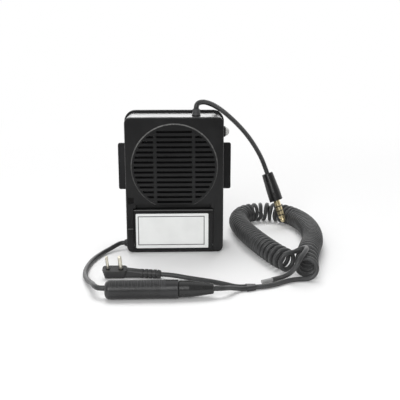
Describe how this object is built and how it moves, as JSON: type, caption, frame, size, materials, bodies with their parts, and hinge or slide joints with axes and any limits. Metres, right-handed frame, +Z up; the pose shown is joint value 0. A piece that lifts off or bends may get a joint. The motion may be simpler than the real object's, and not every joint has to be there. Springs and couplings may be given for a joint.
{
  "type": "push-to-talk loudspeaker unit with leads",
  "caption": "Upright loudspeaker box with a louvred round grille, a push-to-talk paddle over its foot, a side button, a strap bracket, plugs and a curly cord on the floor.",
  "frame": {"origin": "bottom centre of the box, on the surface it stands on", "axes": "+Z up; the grille and the paddle face -Y; the side button is on +X and the curly cord lies there"},
  "size_m": [0.2378, 0.2555, 0.1508],
  "materials": {
    "housing": "fine satin moulding, dark",
    "cover": "satin dark paint",
    "gasket": "matt",
    "bracket": "satin dark paint",
    "screw_steel": "turned",
    "cloth": "woven",
    "seal": "foam",
    "basket": "zinc coated pressing",
    "cone": "pressed paper",
    "magnet": "ground ferrite",
    "board": "lacquered laminate",
    "board_part": "moulded packages",
    "foam": "foam",
    "battery": "shrink film",
    "paddle": "satin moulding, dark",
    "label": "white print on foil",
    "switch_body": "moulded",
    "plated_nut": "nickel plated",
    "plunger": "moulded",
    "button": "grey moulded cap",
    "bezel": "bright plated",
    "lens": "dark tinted",
    "lamp": "clear tinted",
    "gland": "moulded",
    "lead": "smooth jacket",
    "curly_cord": "smooth jacket",
    "sleeve": "pale sleeve",
    "moulding": "moulded",
    "jack": "finely ribbed moulding",
    "handle": "satin moulding",
    "plug_metal": "bright",
    "insulator": "moulded",
    "pin_metal": "bright plated"
  },
  "bodies": {
    "unit": {"front_housing": "housing", "housing_gasket": "gasket", "rear_cover": "cover", "cover_screws": "screw_steel", "strap_bracket": "bracket", "bracket_screws": "screw_steel", "grille_cloth": "cloth", "speaker_seal": "seal", "speaker_basket": "basket", "speaker_cone": "cone", "speaker_magnet": "magnet", "speaker_screws": "screw_steel", "circuit_board": "board", "board_parts": "board_part", "board_screws": "screw_steel", "battery_pad": "foam", "battery_pack": "battery", "paddle_pin": "screw_steel", "ptt_switch": "switch_body", "switch_nut": "plated_nut", "side_button_bezel": "bezel", "side_button_nut": "plated_nut", "side_switch": "switch_body", "indicator_lens": "lens", "indicator_led": "lamp", "top_gland": "gland", "top_gland_nut": "plated_nut", "side_grommet": "gland", "top_lead": "lead", "lower_lead": "lead", "pigtail_lead": "lead", "coil_tail": "lead", "radio_lead": "lead", "inline_lead": "lead", "curly_cord": "curly_cord", "pigtail_sleeve": "sleeve", "lead_splice": "moulding", "inline_jack_body": "jack", "inline_jack_bushing": "plated_nut", "inline_jack_contacts": "plug_metal", "inline_plug_shaft": "plug_metal", "inline_plug_insulators": "insulator", "inline_plug_handle": "moulding", "mask_plug_shaft": "plug_metal", "mask_plug_insulators": "insulator", "mask_plug_handle": "handle", "radio_plug_body": "moulding", "radio_plug_boot": "moulding", "radio_pin_small": "pin_metal", "radio_pin_large": "pin_metal", "radio_pin_collars": "insulator"},
    "paddle": {"ptt_paddle": "paddle", "label_plate": "label"},
    "plunger": {"ptt_plunger": "plunger"},
    "button": {"side_button": "button"}
  },
  "joints": [
    {"name": "paddle_press", "type": "hinge", "parent": "unit", "child": "paddle", "pos_m": [0, -0.019, 0.0065], "axis": [-1, 0, 0], "range_deg": [0, 2.6], "stiffness_Nm_per_rad": 0.8, "springref_deg": -1.72},
    {"name": "plunger_slide", "type": "slide", "parent": "unit", "child": "plunger", "axis": [0, 1, 0], "range_m": [0, 0.0011]},
    {"name": "button_press", "type": "slide", "parent": "unit", "child": "button", "axis": [-1, 0, 0], "range_m": [0, 0.0015], "stiffness_N_per_m": 600, "springref_m": -0.001}
  ],
  "couplings": [
    {"joint": "plunger_slide", "follows": "paddle_press", "m_per_rad": 0.0235}
  ]
}
